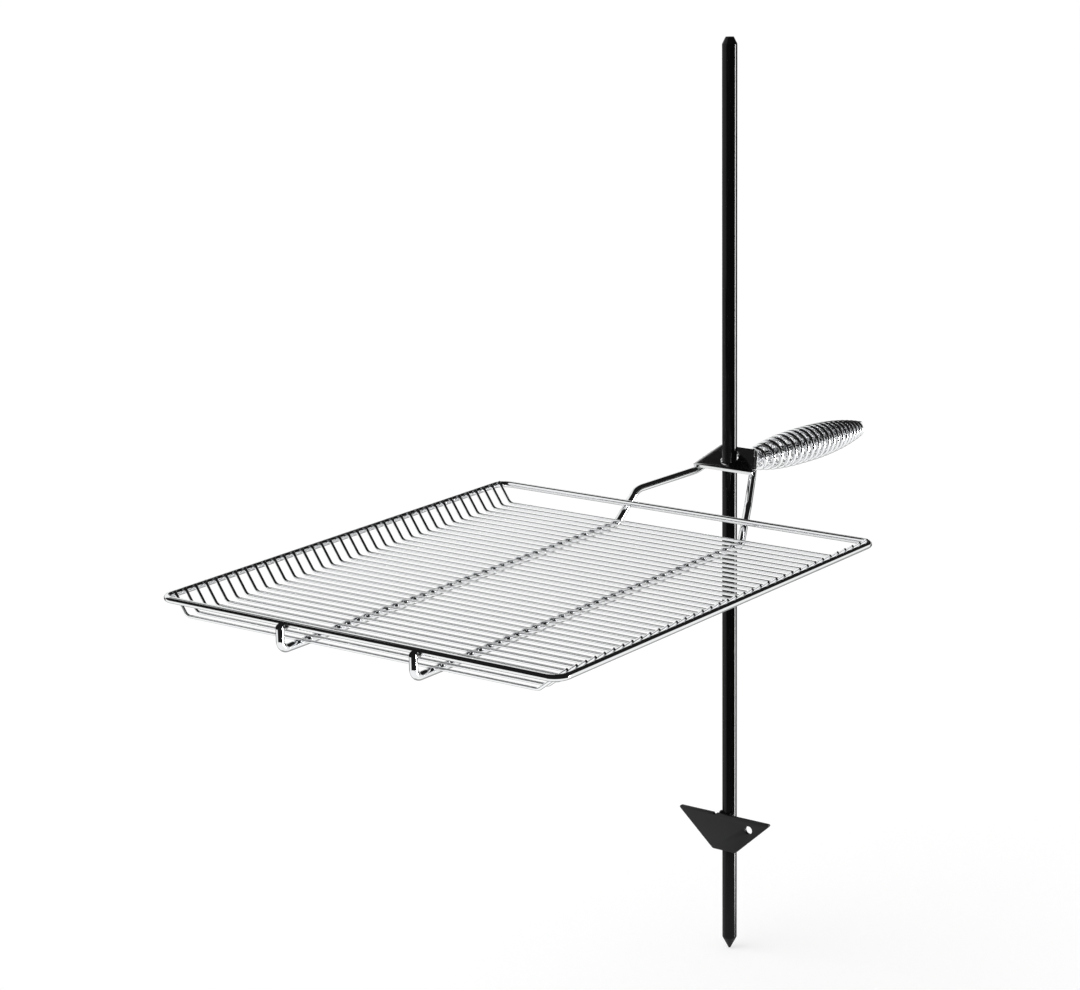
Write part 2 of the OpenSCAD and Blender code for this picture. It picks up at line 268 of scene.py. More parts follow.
rim_chrome = chrome("rim_chrome", 0.92, 0.03, 90, 1400)
wire_chrome = chrome("wire_chrome", 0.97, 0.02, 90, 1600)
rod_chrome = chrome("rod_chrome", 0.90, 0.035, 90, 1300)
coil_chrome = chrome("coil_chrome", 0.96, 0.02, 90, 1700)

# %% [markdown]
# ### Polished plate and bush
# The bracket is cut from sheet and polished in one direction before it is plated, which leaves faint lines.
# The Mapping node stretches a fine noise along the plate's width, and that makes the lines.


# %% Polished sheet
def polished(name, bright, haze, lines):
    def lined(tree, place):
        long_way = tree.add("ShaderNodeMapping", None, {"Vector": place, "Scale": lines})
        return tree.noise(long_way, 900, 3)

    def colour(tree, place):
        return tree.mix(lined(tree, place), grey(bright * 0.9, 0.02), grey(bright, 0.01))

    def roughness(tree, place):
        return haze * 0.7 + tree.noise(place, 160, 4) * haze * 0.6

    def height(tree, place):
        return lined(tree, place) * 0.15 + tree.noise(place, 90, 2)

    return finish(name, colour, roughness, height, 0.00001, Metallic=1.0)


polished_plate = polished("polished_plate", 0.8, 0.09, (0.03, 1, 1))
ring_steel = polished("ring_steel", 0.78, 0.14, (1, 1, 0.05))

# %% [markdown]
# ### Black paint
# The pole has a glossy black coat with a slight orange peel. Where the grill slides, fine upright scuffs dull
# it. The foot plate has the same paint over sheet that was not polished, so it is greyer and has a fine grain.


# %% Paint on the pole, the plate and the weld
def paint(name, dark, light, dull, grain, peel, depth, scuffs, shine=0.5):
    def colour(tree, place):
        speckle = tree.noise(place, grain, 3, 0.7)
        scuffed = tree.add("ShaderNodeMapping", None, {"Vector": place, "Scale": (1, 1, 0.04)})
        marks = tree.ramp(tree.noise(scuffed, 1500, 3), 0.62, 0.74) * scuffs
        return tree.mix(marks, tree.mix(speckle, grey(dark), grey(light, 0.03)), grey(0.05))

    def roughness(tree, place):
        return dull * 0.85 + tree.noise(place, 60, 4) * dull * 0.35

    def height(tree, place):
        return tree.noise(place, peel, 2)

    return finish(name, colour, roughness, height, depth, Specular_IOR_Level=shine)


pole_paint = paint("pole_paint", 0.0035, 0.006, 0.08, 900, 650, 0.000003, 0.2, 0.15)
plate_paint = paint("plate_paint", 0.004, 0.012, 0.42, 2300, 2100, 0.00002, 0.05, 0.3)
painted_weld = paint("painted_weld", 0.004, 0.009, 0.28, 1200, 1100, 0.00004, 0.0, 0.3)


# %% [markdown]
# ### Bare weld
# The small welds on the bracket and at the hooks were plated over rough metal. They are duller than the bars,
# with darker skin in the hollows between the ripples.


# %% Plated weld
def weld_colour(tree, place):
    return tree.mix(tree.noise(place, 700, 4), grey(0.35, -0.04), grey(0.72, 0.01))


def weld_roughness(tree, place):
    return 0.2 + tree.noise(place, 500, 3) * 0.25


def weld_height(tree, place):
    return tree.noise(place, 1300, 3)


bare_weld = finish("bare_weld", weld_colour, weld_roughness, weld_height, 0.00012, Metallic=1.0)

# %% [markdown]
# ## Making pieces
# Three small helpers serve all pieces. One rounds the corners of an outline. One gives a finished mesh its
# body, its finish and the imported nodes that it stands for. One runs a Geometry Nodes tree and keeps its result
# as a plain mesh, because the export drops live modifiers' instances.


# %% Round the corners of a line
def eased(points, radii, steps=6, closed=False):
    """The same line with an arc of each radius at its corners, in any number of dimensions."""
    points = [Vector(p) for p in points]
    count, line = len(points), []
    for i, point in enumerate(points):
        if radii[i] <= 0 or (not closed and i in (0, count - 1)):
            line.append(point)
            continue
        ahead = (point - points[i - 1]).normalized()
        after = (points[(i + 1) % count] - point).normalized()
        turn = ahead.angle(after)
        inward = (after - ahead * ahead.dot(after)).normalized()
        start = point - ahead * radii[i] * math.tan(turn / 2)
        for k in range(steps + 1):
            a = turn * k / steps
            line.append(start + ahead * radii[i] * math.sin(a) + inward * radii[i] * (1 - math.cos(a)))
    return line


# %% Give a mesh its body, its finish and the nodes it stands for
def dress(name, mesh, material, body, nodes, sharp=35):
    piece = bpy.data.objects.new(name, mesh)
    bpy.context.scene.collection.objects.link(piece)
    mesh.materials.clear()
    mesh.materials.append(material)
    mesh.shade_smooth()
    mesh.set_sharp_from_angle(angle=math.radians(sharp))
    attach(piece, body)
    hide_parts(*nodes)
    mesh.calc_loop_triangles()
    print(f"{name}: {len(mesh.loop_triangles)} triangles, stands for {len(nodes)} nodes")
    return piece


# %% A geometry tree with named inputs, and its result as a plain mesh
KINDS = {float: "NodeSocketFloat", int: "NodeSocketInt", tuple: "NodeSocketVector"}


def geometry_tree(name, values):
    """A new tree and its named inputs as Values. The last input is the finish."""
    group = bpy.data.node_groups.new(name, "GeometryNodeTree")
    group.interface.new_socket("Route", in_out="INPUT", socket_type="NodeSocketGeometry")
    for label, value in values.items():
        kind = KINDS.get(type(value), "NodeSocketMaterial")
        group.interface.new_socket(label, in_out="INPUT", socket_type=kind)
    group.interface.new_socket("Piece", in_out="OUTPUT", socket_type="NodeSocketGeometry")
    tree = Tree(group)
    ports = tree.nodes.new("NodeGroupInput").outputs
    return group, tree, {port.name: Value(tree, port) for port in ports if port.name}


def close_tree(tree, made, material):
    """Ends a tree: smooth faces, real geometry for every copy, and the finish on it."""
    smooth = tree.add("GeometryNodeSetShadeSmooth", None, {"Geometry": made})
    real = tree.add("GeometryNodeRealizeInstances", None, {"Geometry": smooth})
    painted = tree.add("GeometryNodeSetMaterial", None, {"Geometry": real, "Material": material})
    tree.add("NodeGroupOutput", None, {"Piece": painted})


def run_tree(group, values, route):
    """Runs the tree on a mesh of points and edges and returns the result as a plain mesh."""
    carrier = bpy.data.objects.new("route", route)
    bpy.context.scene.collection.objects.link(carrier)
    modifier = carrier.modifiers.new(group.name, "NODES")
    modifier.node_group = group
    for item in group.interface.items_tree:
        if item.in_out == "INPUT" and item.name in values:
            modifier[item.identifier] = values[item.name]
    graph = bpy.context.evaluated_depsgraph_get()
    mesh = bpy.data.meshes.new_from_object(carrier.evaluated_get(graph), depsgraph=graph)
    bpy.data.objects.remove(carrier)
    return mesh


# %% [markdown]
# ## Bars along a route
# Every bar of the grill is round stock bent at a few corners. Its route is a mesh of corner points and edges,
# and each corner stores its bend radius as an attribute. The tree turns the route into a curve, rounds the
# corners with Fillet Curve and sweeps a circle along it. Copies and Spacing repeat the bar, as for the wires.


# %% The tree for bent bars
def route_mesh(routes, closed=False):
    """A mesh of edges along routes. Each route is a list of (point, bend radius)."""
    mesh = bpy.data.meshes.new("route")
    points, edges, bends = [], [], []
    for route in routes:
        first = len(points)
        points += [point for point, _ in route]
        bends += [bend for _, bend in route]
        edges += [(i, i + 1) for i in range(first, len(points) - 1)]
        if closed:
            edges.append((len(points) - 1, first))
    mesh.from_pydata(points, edges, [])
    mesh.attributes.new("bend", "FLOAT", "POINT").data.foreach_set("value", bends)
    return mesh


def bar_tree(values):
    group, tree, given = geometry_tree("bar along a route", values)
    curve = tree.add("GeometryNodeMeshToCurve", None, {"Mesh": given["Route"]})
    bend = tree.add("GeometryNodeInputNamedAttribute", {"data_type": "FLOAT"}, {"Name": "bend"})
    bent = tree.add("GeometryNodeFilletCurve", {"mode": "POLY"},
                    {"Curve": curve, "Count": given["Bend steps"], "Radius": bend})
    circle = tree.add("GeometryNodeCurvePrimitiveCircle", {"mode": "RADIUS"},
                      {"Resolution": given["Sides"], "Radius": given["Bar radius"]})
    bar = tree.add("GeometryNodeCurveToMesh", None,
                   {"Curve": bent, "Profile Curve": circle, "Fill Caps": True})
    places = tree.add("GeometryNodeMeshLine", {"mode": "OFFSET"},
                      {"Count": given["Copies"], "Offset": given["Spacing"]})
    copies = tree.add("GeometryNodeInstanceOnPoints", None, {"Points": places, "Instance": bar})
    close_tree(tree, copies, given["Finish"])
    return group


def bars(routes, radius, sides, steps, material, copies=1, spacing=(0.0, 0.0, 0.0), closed=False):
    values = {"Bar radius": radius, "Sides": sides, "Bend steps": steps, "Copies": copies,
              "Spacing": spacing, "Finish": material}
    return run_tree(bar_tree(values), values, route_mesh(routes, closed))


def raised(x, y, z):
    """A point given from the middle of the bracket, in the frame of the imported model."""
    return Vector((x, y, z + grill_height))


# %% [markdown]
# ### Rim
# The rim is one bar bent into a rounded rectangle and closed. Its route has four corners with the same bend.

# %% Make the rim
rim_route = [(raised(x, y, rim_z), rim_corner) for x, y in
             ((rim_x, rim_front), (rim_x, rim_back), (-rim_x, rim_back), (-rim_x, rim_front))]
rim_mesh = bars([rim_route], rim_radius, 24, 16, rim_chrome, closed=True)
dress("rim_bar", rim_mesh, rim_chrome, "grill", ["rim"])

# %% [markdown]
# ### Cross wires
# Each wire hangs from the rim's two sides. Its straight end lies against the inner side of the rim and stands
# a little past it, then it slopes down and runs flat across the tray. The right ends lean more than the left
# ones. All wires are alike and evenly spaced, so one route and a copy for each wire are enough.


# %% Make the cross wires
def wire_end(side, lean):
    """The cut end and the corner of a wire on one side of the tray."""
    touch = rim_radius + wire_radius + weld_gap
    y = rim_front + first_wire
    inset = touch * math.cos(lean) + (tray_depth + touch * math.sin(lean)) * math.tan(lean)
    return [
        (raised(side * (rim_x - touch * math.cos(lean) + wire_over * math.sin(lean)), y,
                rim_z + touch * math.sin(lean) + wire_over * math.cos(lean)), 0.0),
        (raised(side * (rim_x - inset), y, tray_z), wire_bend),
    ]


wire_route = wire_end(-1, left_lean) + wire_end(1, right_lean)[::-1]
wire_mesh = bars([wire_route], wire_radius, 12, 9, wire_chrome, wire_count, (0.0, wire_pitch, 0.0))
wire_nodes = [f"cross_wire_{i:02d}" for i in range(1, wire_count + 1)]
dress("cross_wires", wire_mesh, wire_chrome, "grill", wire_nodes)

# %% [markdown]
# ### Support rods
# Each rod is one bar: up from the hook at the front edge, back under the tray, up behind the rim, in to the
# bracket, along its edge and into the handle. The hook's top is sheared off at a slant, which one cutting plane
# does for both rods.


# %% Points on the bracket and in the handle
def plate_point(x, along, square_to):
    """A point on the sloping bracket plate: across it, up its slope and square to it."""
    return raised(x, along * math.cos(plate_tilt) - square_to * math.sin(plate_tilt),
                  along * math.sin(plate_tilt) + square_to * math.cos(plate_tilt))


def plate_edge(along):
    """Half the plate's width at a place along its slope."""
    return plate_front / 2 - (plate_front - plate_back) / 2 * (along + hole_setback) / plate_depth


def handle_point(right, up, along):
    """A point in the handle's own frame: to the right, up and along its drooping axis."""
    return raised(right, coil_start + up * math.sin(coil_droop) + along * math.cos(coil_droop),
                  up * math.cos(coil_droop) - along * math.sin(coil_droop) - coil_drop)


# %% Make the support rods
under_plate = -plate_thickness / 2 - rod_radius - weld_gap
arch_s = plate_depth - hole_setback + arch_past
rod_corners = [
    (raised(rod_x, hook_y, rim_z + hook_over), 0.0),
    (raised(rod_x, hook_y, rod_z), hook_bend),
    (raised(rod_x, rise_foot_y, rod_z), foot_bend),
    (raised(*rise_head), head_bend),
    (plate_point(plate_edge(-hole_setback) - rod_inset, -hole_setback, under_plate), edge_bend),
    (plate_point(plate_edge(arch_s) - rod_inset, arch_s, under_plate), arch_bend),
    (handle_point(tail_x, 0, -neck_back), neck_bend),
    (handle_point(tail_x, 0, rod_tail), 0.0),
]
left_corners = [(Vector((-point.x, point.y, point.z)), bend) for point, bend in rod_corners]
rod_mesh = bars([rod_corners, left_corners], rod_radius, 24, 12, rod_chrome)


def shear_off(mesh, point, normal):
    """Cuts away what lies beyond a plane and closes the cut."""
    cut = bmesh.new()
    cut.from_mesh(mesh)
    everything = cut.verts[:] + cut.edges[:] + cut.faces[:]
    bmesh.ops.bisect_plane(cut, geom=everything, plane_co=point, plane_no=normal, clear_outer=True)
    bmesh.ops.holes_fill(cut, edges=[e for e in cut.edges if e.is_boundary])
    cut.to_mesh(mesh)
    cut.free()


sheared_at = raised(rod_x, hook_y + rod_radius, rim_z + shear_height)
shear_off(rod_mesh, sheared_at, (0, -math.sin(hook_slant), math.cos(hook_slant)))
dress("support_rods", rod_mesh, rod_chrome, "grill", ["support_rod_left", "support_rod_right"])

# %% [markdown]
# ## Handle
# The handle is one wire wound into a barrel, open enough to stay cool. The shape follows a rule: the distance
# from the axis depends only on how far along the turn is, and the turns close up to the far end. The tree
# works the rule out for every point of a line, by its index, and sweeps the wire along it.


# %% The tree for the handle
def coil_tree(values):
    group, tree, given = geometry_tree("barrel coil", values)
    index = tree.add("GeometryNodeInputIndex")
    rings, tail = given["Points per turn"], given["Tail points"]
    turns = given["Turns"]
    # The first points are the tail that stands on the rod, then come the turns, then one point past them
    spiral = (index - tail - 1) / rings
    turn = spiral.math("MAXIMUM", 0).math("MINIMUM", turns)
    past = (spiral - turns).math("MAXIMUM", 0) * rings
    share = turn / turns
    widest = given["Widest share"]
    before = (1 - share / widest).math("MAXIMUM", 0)
    after = ((share - widest) / (1 - widest)).math("MAXIMUM", 0)
    bulge = (given["Widest radius"] - given["Start radius"]) * before * before * before
    radius = given["Widest radius"] - bulge - (given["Widest radius"] - given["End radius"]) * after * after
    spread = given["Spread share"]
    along = given["Length"] * share * (1 + spread - spread * share)
    angle = turn * (2 * math.pi)
    # The tail: a foot on the rod, then a quarter bend over into the first turn
    in_tail = tree.add("ShaderNodeMath", {"operation": "LESS_THAN"}, [index, tail + 0.5])
    at_foot = tree.add("ShaderNodeMath", {"operation": "LESS_THAN"}, [index, 0.5])
    swing = ((index - 1) / (tail - 1)).math("MAXIMUM", 0).math("MINIMUM", 1) * (math.pi / 2)
    bend = given["Tail bend"]
    tail_right = bend * (1 - swing.math("COSINE")) - given["Tail offset"]
    tail_up = given["Start radius"] - bend * (1 - swing.math("SINE"))
    tail_up = at_foot * given["Foot height"] + (1 - at_foot) * tail_up
    right = in_tail * tail_right + (1 - in_tail) * (radius * angle.math("SINE") + past * given["Stub"])
    up = in_tail * tail_up + (1 - in_tail) * radius * angle.math("COSINE")
    # From the handle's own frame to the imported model's
    cos, sin = math.cos(coil_droop), math.sin(coil_droop)
    back, height = up * sin + along * cos + coil_start, up * cos - along * sin + given["Axis height"]
    place = tree.add("ShaderNodeCombineXYZ", None, [right, back, height])
    count = tail + turns * rings + 3
    line = tree.add("GeometryNodeMeshLine", {"mode": "OFFSET"}, {"Count": count, "Offset": (0, MM, 0)})
    curve = tree.add("GeometryNodeMeshToCurve", None, {"Mesh": line})
    wound = tree.add("GeometryNodeSetPosition", None, {"Geometry": curve, "Position": place})
    circle = tree.add("GeometryNodeCurvePrimitiveCircle", {"mode": "RADIUS"},
                      {"Resolution": given["Sides"], "Radius": given["Wire radius"]})
    wire = tree.add("GeometryNodeCurveToMesh", None,
                    {"Curve": wound, "Profile Curve": circle, "Fill Caps": True})
    close_tree(tree, wire, given["Finish"])
    return group


# %% Make the handle
coil_foot = rod_radius + weld_gap
coil_sizes = {
    "Turns": coil_turns, "Points per turn": 36, "Tail points": 8, "Sides": 14,
    "Wire radius": coil_wire_radius, "Start radius": coil_start_radius, "Widest radius": coil_widest_radius,
    "End radius": coil_end_radius, "Length": coil_length, "Widest share": widest_share,
    "Spread share": spread_share, "Tail bend": coil_start_radius - coil_foot - 2 * coil_wire_radius,
    "Tail offset": tail_x, "Foot height": coil_foot, "Stub": coil_stub,
    "Axis height": grill_height - coil_drop, "Finish": coil_chrome,
}
coil_mesh = run_tree(coil_tree(coil_sizes), coil_sizes, bpy.data.meshes.new("route"))
dress("handle_spring", coil_mesh, coil_chrome, "grill", ["handle_coil"])

# %% [markdown]
# ## Turned pieces
# The pole and the bush are turned on a lathe, so each is a profile turned about the upright axis. The profile's
# corners are rounded a little, because a real edge always catches some light.


# %% Turn a profile about the pole's axis
def turned(profile, sides):
    """A closed mesh turned about Z from (radius, height) points. Points on the axis become one vertex."""
    mesh = bmesh.new()
    rings = []
    for radius, height in profile:
        if radius < 1e-9:
            rings.append([mesh.verts.new((0, 0, height))])
        else:
            rings.append([mesh.verts.new((radius * math.cos(a), radius * math.sin(a), height))
                          for a in (2 * math.pi * k / sides for k in range(sides))])
    pairs = list(zip(rings, rings[1:]))
    if len(rings[0]) > 1:
        pairs.append((rings[-1], rings[0]))
    for low, high in pairs:
        for k in range(sides):
            corners = [low[k % len(low)], low[(k + 1) % len(low)],
                       high[(k + 1) % len(high)], high[k % len(high)]]
            mesh.faces.new(list(dict.fromkeys(corners)))
    bmesh.ops.recalc_face_normals(mesh, faces=mesh.faces[:])
    made = bpy.data.meshes.new("turned")
    mesh.to_mesh(made)
    mesh.free()
    return made


# %% Make the pole and the bush
tip_edge, cone_edge, bevel_edge, top_edge = 0.3 * MM, 2 * MM, 1.2 * MM, 0.5 * MM
pole_profile = eased(
    [(0, -spike_depth), (tip_flat_radius, -spike_depth), (pole_radius, tip_length - spike_depth),
     (pole_radius, pole_top - top_bevel), (top_flat_radius, pole_top), (0, pole_top)],
    [0, tip_edge, cone_edge, bevel_edge, top_edge, 0], 5)
dress("pole_bar", turned(pole_profile, 72), pole_paint, "stake", ["pole"])

ring_low, ring_high = grill_height - 7 * MM, grill_height - 2 * MM
inner_edge, outer_edge = 0.15 * MM, 0.3 * MM
ring_profile = eased(
    [(ring_inner, ring_low), (ring_outer, ring_low), (ring_outer, ring_high), (ring_inner, ring_high)],
    [inner_edge, outer_edge, outer_edge, inner_edge], 4, closed=True)
dress("guide_bush", turned(ring_profile, 72), ring_steel, "slider", ["guide_ring"])

# %% [markdown]
# ## Sheet pieces
# The foot plate and the bracket are cut from sheet. A flat curve does this well: its outline and its holes are
# filled, Extrude gives the thickness, and Bevel rounds the cut edges. It is made a mesh before it is placed.


# %% Cut a piece from sheet
def arc(centre, radius, start, end, steps):
    """Points of an arc, in degrees."""
    turns = [math.radians(start + (end - start) * k / steps) for k in range(steps + 1)]
    return [Vector((centre[0] + radius * math.cos(a), centre[1] + radius * math.sin(a))) for a in turns]


def sheet_piece(outlines, thickness, edge):
    """A mesh cut from sheet, in the XY plane. The first outline is the outer one, the rest are holes."""
    curve = bpy.data.curves.new("sheet", "CURVE")
    curve.dimensions, curve.fill_mode = "2D", "BOTH"
    curve.extrude, curve.bevel_depth, curve.bevel_resolution = thickness / 2 - edge, edge, 2
    curve.offset = -edge
    for outline in outlines:
        spline = curve.splines.new("POLY")
        spline.points.add(len(outline) - 1)
        for point, corner in zip(spline.points, outline):
            point.co = (corner.x, corner.y, 0, 1)
        spline.use_cyclic_u = True
    carrier = bpy.data.objects.new("sheet", curve)
    bpy.context.scene.collection.objects.link(carrier)
    graph = bpy.context.evaluated_depsgraph_get()
    mesh = bpy.data.meshes.new_from_object(carrier.evaluated_get(graph), depsgraph=graph)
    bpy.data.objects.remove(carrier)
    merged = bmesh.new()
    merged.from_mesh(mesh)
    bmesh.ops.remove_doubles(merged, verts=merged.verts[:], dist=0.000005)
    bmesh.ops.recalc_face_normals(merged, faces=merged.faces[:])
    merged.to_mesh(mesh)
    merged.free()
    return mesh


# %% Make the foot plate
foot_corner, ear_corner, foot_edge = 3 * MM, 1.2 * MM, 0.25 * MM
notch = arc((foot_notch_x, foot_height), foot_notch_radius, 0, -180, 14)
half_top, half_bottom = foot_top_width / 2, foot_bottom_width / 2
foot_outline = eased(
    [(-half_bottom, 0), (half_bottom, 0), (half_top, foot_height)] + [tuple(p) for p in notch]
    + [(-half_top, foot_height)],
    [foot_corner, foot_corner, ear_corner] + [0] * len(notch) + [ear_corner], 8, closed=True)
foot_hole = arc(foot_hole_at, foot_hole_radius, 360, 7.5, 47)
foot_mesh = sheet_piece([foot_outline, foot_hole], foot_thickness, foot_edge)
foot_place = Matrix.Translation((0, foot_back_y - foot_thickness / 2, 0))
foot_mesh.transform(foot_place @ Matrix.Rotation(math.pi / 2, 4, "X"))
dress("foot_sheet", foot_mesh, plate_paint, "stake", ["foot_plate"])

# %% [markdown]
# ### Bracket
# The bracket's hole is upright while the sheet slopes, so in the sheet it is an oval whose walls lean. The oval
# is cut first, and then its walls are slid along the slope by as much as the lean asks.

# %% Make the bracket
plate_corner, plate_round, wall_reach = 0.8 * MM, 0.35 * MM, 0.8 * MM
back_s = plate_depth - hole_setback
bracket_outline = eased(
    [(-plate_front / 2, -hole_setback), (plate_front / 2, -hole_setback),
     (plate_back / 2, back_s), (-plate_back / 2, back_s)], [plate_corner] * 4, 5, closed=True)
oval = [Vector((p.x, p.y / math.cos(plate_tilt))) for p in arc((0, 0), hole_radius, 360, 5, 71)]
bracket_mesh = sheet_piece([bracket_outline, oval], plate_thickness, plate_round)
for vertex in bracket_mesh.vertices:
    if math.hypot(vertex.co.x, vertex.co.y * math.cos(plate_tilt)) < hole_radius + wall_reach:
        vertex.co.y += vertex.co.z * math.tan(plate_tilt)
bracket_mesh.transform(Matrix.Translation((0, 0, grill_height)) @ Matrix.Rotation(plate_tilt, 4, "X"))
dress("bracket_sheet", bracket_mesh, polished_plate, "grill", ["bracket_plate"])

# %% [markdown]
# ## Welds
# A weld bead is a row of small pools that froze one after another, so it looks like a stack of coins. The tree
# puts a slightly squashed ball at even steps along a line, each turned and sized a little at random from a
# fixed seed. A fine Remesh then melts the balls into one skin.


# %% The tree for weld beads
def bead_tree(values):
    group, tree, given = geometry_tree("weld bead", values)
    curve = tree.add("GeometryNodeMeshToCurve", None, {"Mesh": given["Route"]})
    steps = tree.add("GeometryNodeResampleCurve", {"mode": "LENGTH"},
                     {"Curve": curve, "Length": given["Ripple spacing"]})
    ball = tree.add("GeometryNodeMeshIcoSphere", None, {"Radius": given["Bead radius"], "Subdivisions": 3})
    size = tree.add("FunctionNodeRandomValue", {"data_type": "FLOAT"},
                    {2: 0.86, 3: 1.06, "Seed": given["Seed"]}, 1)
    turn = tree.add("FunctionNodeRandomValue", {"data_type": "FLOAT_VECTOR"},
                    {0: (0, 0, 0), 1: (6.2, 6.2, 6.2), "Seed": given["Seed"] + 1})
    squashed = tree.add("GeometryNodeTransform", None, {"Geometry": ball, "Scale": (1.0, 0.92, 0.84)})
    ripples = tree.add("GeometryNodeInstanceOnPoints", None,
                       {"Points": steps, "Instance": squashed, "Rotation": turn, "Scale": size})
    close_tree(tree, ripples, given["Finish"])
    return group


def weld(name, lines, radius, seed, material, body, nodes):
    """A weld bead along each line, melted into one skin."""
    values = {"Bead radius": radius, "Ripple spacing": 0.62 * radius, "Seed": seed, "Finish": material}
    mesh = run_tree(bead_tree(values), values, route_mesh([[(p, 0.0) for p in line] for line in lines]))
    carrier = bpy.data.objects.new("bead", mesh)
    bpy.context.scene.collection.objects.link(carrier)
    melt = carrier.modifiers.new("melt", "REMESH")
    melt.mode, melt.voxel_size = "VOXEL", radius * 0.14
    graph = bpy.context.evaluated_depsgraph_get()
    skin = bpy.data.meshes.new_from_object(carrier.evaluated_get(graph), depsgraph=graph)
    bpy.data.objects.remove(carrier)
    return dress(name, skin, material, body, nodes, 70)


# %% Make the welds
foot_bead, bracket_bead, hook_bead = 1.95 * MM, 1.55 * MM, 1.5 * MM
foot_weld_x, foot_weld_y, foot_weld_low = 5 * MM, foot_back_y + 1.5 * MM, 2 * MM
foot_lines = [[Vector((side * foot_weld_x, foot_weld_y, z)) for z in (foot_weld_low, foot_height)]
              for side in (-1, 1)]
weld("foot_weld_beads", foot_lines, foot_bead, 3, painted_weld, "stake",
     ["foot_weld_left", "foot_weld_right"])

weld_from, weld_to, weld_aside, weld_below = -4.5 * MM, 7.2 * MM, 1 * MM, 1 * MM
edge_lines = []
for side in (-1, 1):
    ends = [plate_point(side * (plate_edge(s) + weld_aside), s, -weld_below) for s in (weld_from, weld_to)]
    edge_lines.append(ends)
weld("bracket_weld_beads", edge_lines, bracket_bead, 7, bare_weld, "grill",
     ["bracket_weld_left", "bracket_weld_right"])

hook_low, hook_high, hook_spread = rim_z - 2.4 * MM, rim_z - 1.6 * MM, 0.5 * MM
hook_lines = []
for centre in (-rod_x, rod_x):
    for side in (-1, 1):
        x = centre + side * rod_radius
        hook_lines.append([raised(x - hook_spread, hook_y + rod_radius, hook_low),
                           raised(x + hook_spread, hook_y + rod_radius, hook_high)])
weld("hook_weld_beads", hook_lines, hook_bead, 11, bare_weld, "grill",
     ["hook_weld_left", "hook_weld_right"])

# %% [markdown]
# ## Studio
# Chrome shows only what is round it, so the room matters as much as the metal. The room has a white table
# below the front, a greyer one below the back, a white wall at the left, lower walls at the back and the
# right, and a strip light at the right. It is dark in front and overhead, which draws the dark lines along
# the bars. The world shows that room to glossy rays, plain white to the camera, and an even pale light to
# everything else.

# %% The room that the chrome reflects
view_turn = math.radians(36.3)
to_camera = (math.sin(view_turn), -math.cos(view_turn), 0)
to_right = (math.cos(view_turn), math.sin(view_turn), 0)

world = bpy.data.worlds.new("studio")
bpy.context.scene.world = world
world.use_nodes = True
room = Tree(world.node_tree)
room.nodes.clear()
way = room.add("ShaderNodeTexCoord", output="Generated")
up = room.add("ShaderNodeSeparateXYZ", None, [way], 2)
ahead = room.add("ShaderNodeVectorMath", {"operation": "DOT_PRODUCT"}, [way, to_camera], "Value")
aside = room.add("ShaderNodeVectorMath", {"operation": "DOT_PRODUCT"}, [way, to_right], "Value")
bearing = aside.math("ARCTAN2", ahead) * (180 / math.pi)


def band(value, low, high, soft):
    """One between low and high, with soft edges."""
    return room.ramp(value, low - soft, low + soft) * room.ramp(value, high + soft, high - soft)


# Bearings are in degrees, zero towards the camera and positive to the right. Each light ends with its strength.
front_table = band(bearing, -135, 122, 3) * room.ramp(up, -0.36, -0.42)
back_table = room.ramp(up, -0.36, -0.42) * 0.35
left_wall = band(bearing, -122, -56, 3) * room.ramp(up, 0.80, 0.76) * 0.98
back_left_wall = band(bearing, -183, -122, 3) * band(up, -0.03, 0.68, 0.03) * 0.95
strip_light = band(bearing, 86, 98, 2) * band(up, -0.40, -0.03, 0.02) * 48
right_wall = band(bearing, 84, 120, 3) * room.ramp(up, 0.26, 0.22) * 0.95
back_right_wall = band(bearing, 119, 184, 4) * band(up, -0.03, 0.12, 0.03) * 0.85
lights = [front_table, back_table, left_wall, back_left_wall, strip_light, right_wall, back_right_wall]
glow = lights[0]
for light in lights[1:]:
    glow = glow.math("MAXIMUM", light)
glow = glow * 0.98 + 0.012

# %% What each kind of ray sees
rays = {kind: room.add("ShaderNodeLightPath", output=kind) for kind in ("Is Camera Ray", "Is Glossy Ray",
                                                                      "Is Transmission Ray")}
mirrored = rays["Is Glossy Ray"].math("MAXIMUM", rays["Is Transmission Ray"])
even_light = 0.55
strength = mirrored * glow + (1 - mirrored) * even_light
strength = rays["Is Camera Ray"] * 1.0 + (1 - rays["Is Camera Ray"]) * strength
background = room.add("ShaderNodeBackground", None, {"Color": (1, 1, 1, 1), "Strength": strength})
room.add("ShaderNodeOutputWorld", None, {"Surface": background})

# %% [markdown]
# ## Floor and lamps
# A wide pale floor keeps a soft shadow of the grill. Part of its brightness is its own for the camera, so it
# meets the white background without a line. One broad sun gives the shadow; mirrors do not see it. A black card
# close in front of the grate is seen by mirrors only, and draws the dark line along the front bar.

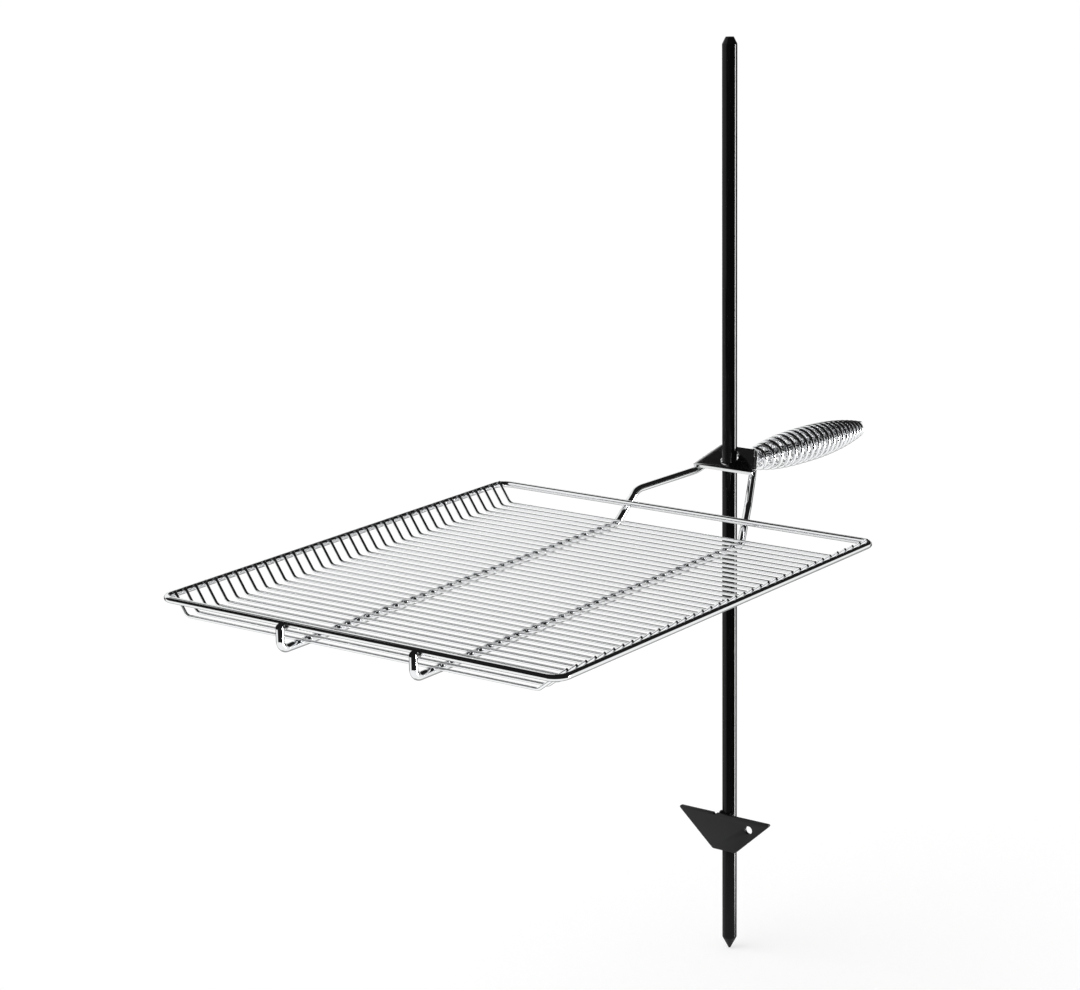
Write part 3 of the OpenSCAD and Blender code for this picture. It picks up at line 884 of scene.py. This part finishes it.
# %% Floor
floor_mesh = bpy.data.meshes.new("floor")
floor_z = -spike_depth - 0.2 * MM
reach = 40.0
floor_mesh.from_pydata([(-reach, -reach, floor_z), (reach, -reach, floor_z), (reach, reach, floor_z),
                        (-reach, reach, floor_z)], [], [(0, 1, 2, 3)])
floor = bpy.data.objects.new("floor", floor_mesh)
bpy.context.scene.collection.objects.link(floor)
floor_finish = bpy.data.materials.new("floor_paper")
floor_finish.use_nodes = True
paper = Tree(floor_finish.node_tree)
paper.nodes.clear()
lit = paper.add("ShaderNodeBsdfDiffuse", None, {"Color": (0.45, 0.45, 0.45, 1)})
seen = paper.add("ShaderNodeLightPath", output="Is Camera Ray")
own = paper.add("ShaderNodeEmission", None, {"Color": (1, 1, 1, 1), "Strength": seen * 0.60})
both = paper.add("ShaderNodeAddShader", None, [lit, own])
paper.add("ShaderNodeOutputMaterial", None, {"Surface": both})
floor_mesh.materials.append(floor_finish)
floor.visible_glossy = False


# %% Sun
sun_data = bpy.data.lights.new("sun", "SUN")
sun_data.energy, sun_data.angle = 1.4, math.radians(50)
sun = bpy.data.objects.new("sun", sun_data)
sun.rotation_euler = (math.radians(28), math.radians(-22), 0)
sun.visible_glossy = False
bpy.context.scene.collection.objects.link(sun)

# %% Black card
card_y, card_left, card_right, card_low, card_high = -500 * MM, -350 * MM, 190 * MM, 299 * MM, 385 * MM
card_mesh = bpy.data.meshes.new("card")
card_mesh.from_pydata([(card_left, card_y, card_low), (card_right, card_y, card_low),
                       (card_right, card_y, card_high), (card_left, card_y, card_high)], [], [(0, 1, 2, 3)])
card = bpy.data.objects.new("card", card_mesh)
bpy.context.scene.collection.objects.link(card)
card_finish = bpy.data.materials.new("card_black")
card_finish.use_nodes = True
black = Tree(card_finish.node_tree)
black.nodes.clear()
dark = black.add("ShaderNodeEmission", None, {"Color": (1, 1, 1, 1), "Strength": 0.012})
black.add("ShaderNodeOutputMaterial", None, {"Surface": dark})
card_mesh.materials.append(card_finish)
card.visible_camera = card.visible_diffuse = card.visible_shadow = False

# %% [markdown]
# ## Camera
# The camera stands where the photograph was taken: to the right of the front and a little above the grate,
# with a long lens. Its three axes follow from the turn, the downward pitch and a slight roll.

# %% Camera
pitch, roll = math.radians(14.1), math.radians(-0.9)
forward_flat = Vector((-math.sin(view_turn), math.cos(view_turn), 0))
level_right = Vector((math.cos(view_turn), math.sin(view_turn), 0))
forward = forward_flat * math.cos(pitch) - Vector((0, 0, math.sin(pitch)))
level_up = level_right.cross(forward)
camera_right = level_right * math.cos(roll) + level_up * math.sin(roll)
camera_up = level_up * math.cos(roll) - level_right * math.sin(roll)
camera_data = bpy.data.cameras.new("camera")
camera_data.sensor_fit, camera_data.sensor_width = "HORIZONTAL", 36
camera_data.lens = 99.63
camera_data.clip_end = 200
camera = bpy.data.objects.new("camera", camera_data)
axes = Matrix((camera_right, camera_up, -forward)).transposed().to_4x4()
camera.matrix_world = Matrix.Translation((1.2638, -1.9794, 0.8940)) @ axes
bpy.context.scene.collection.objects.link(camera)
bpy.context.scene.camera = camera
bpy.context.scene.view_settings.view_transform = "Standard"
print("camera at", [round(c, 4) for c in camera.location])
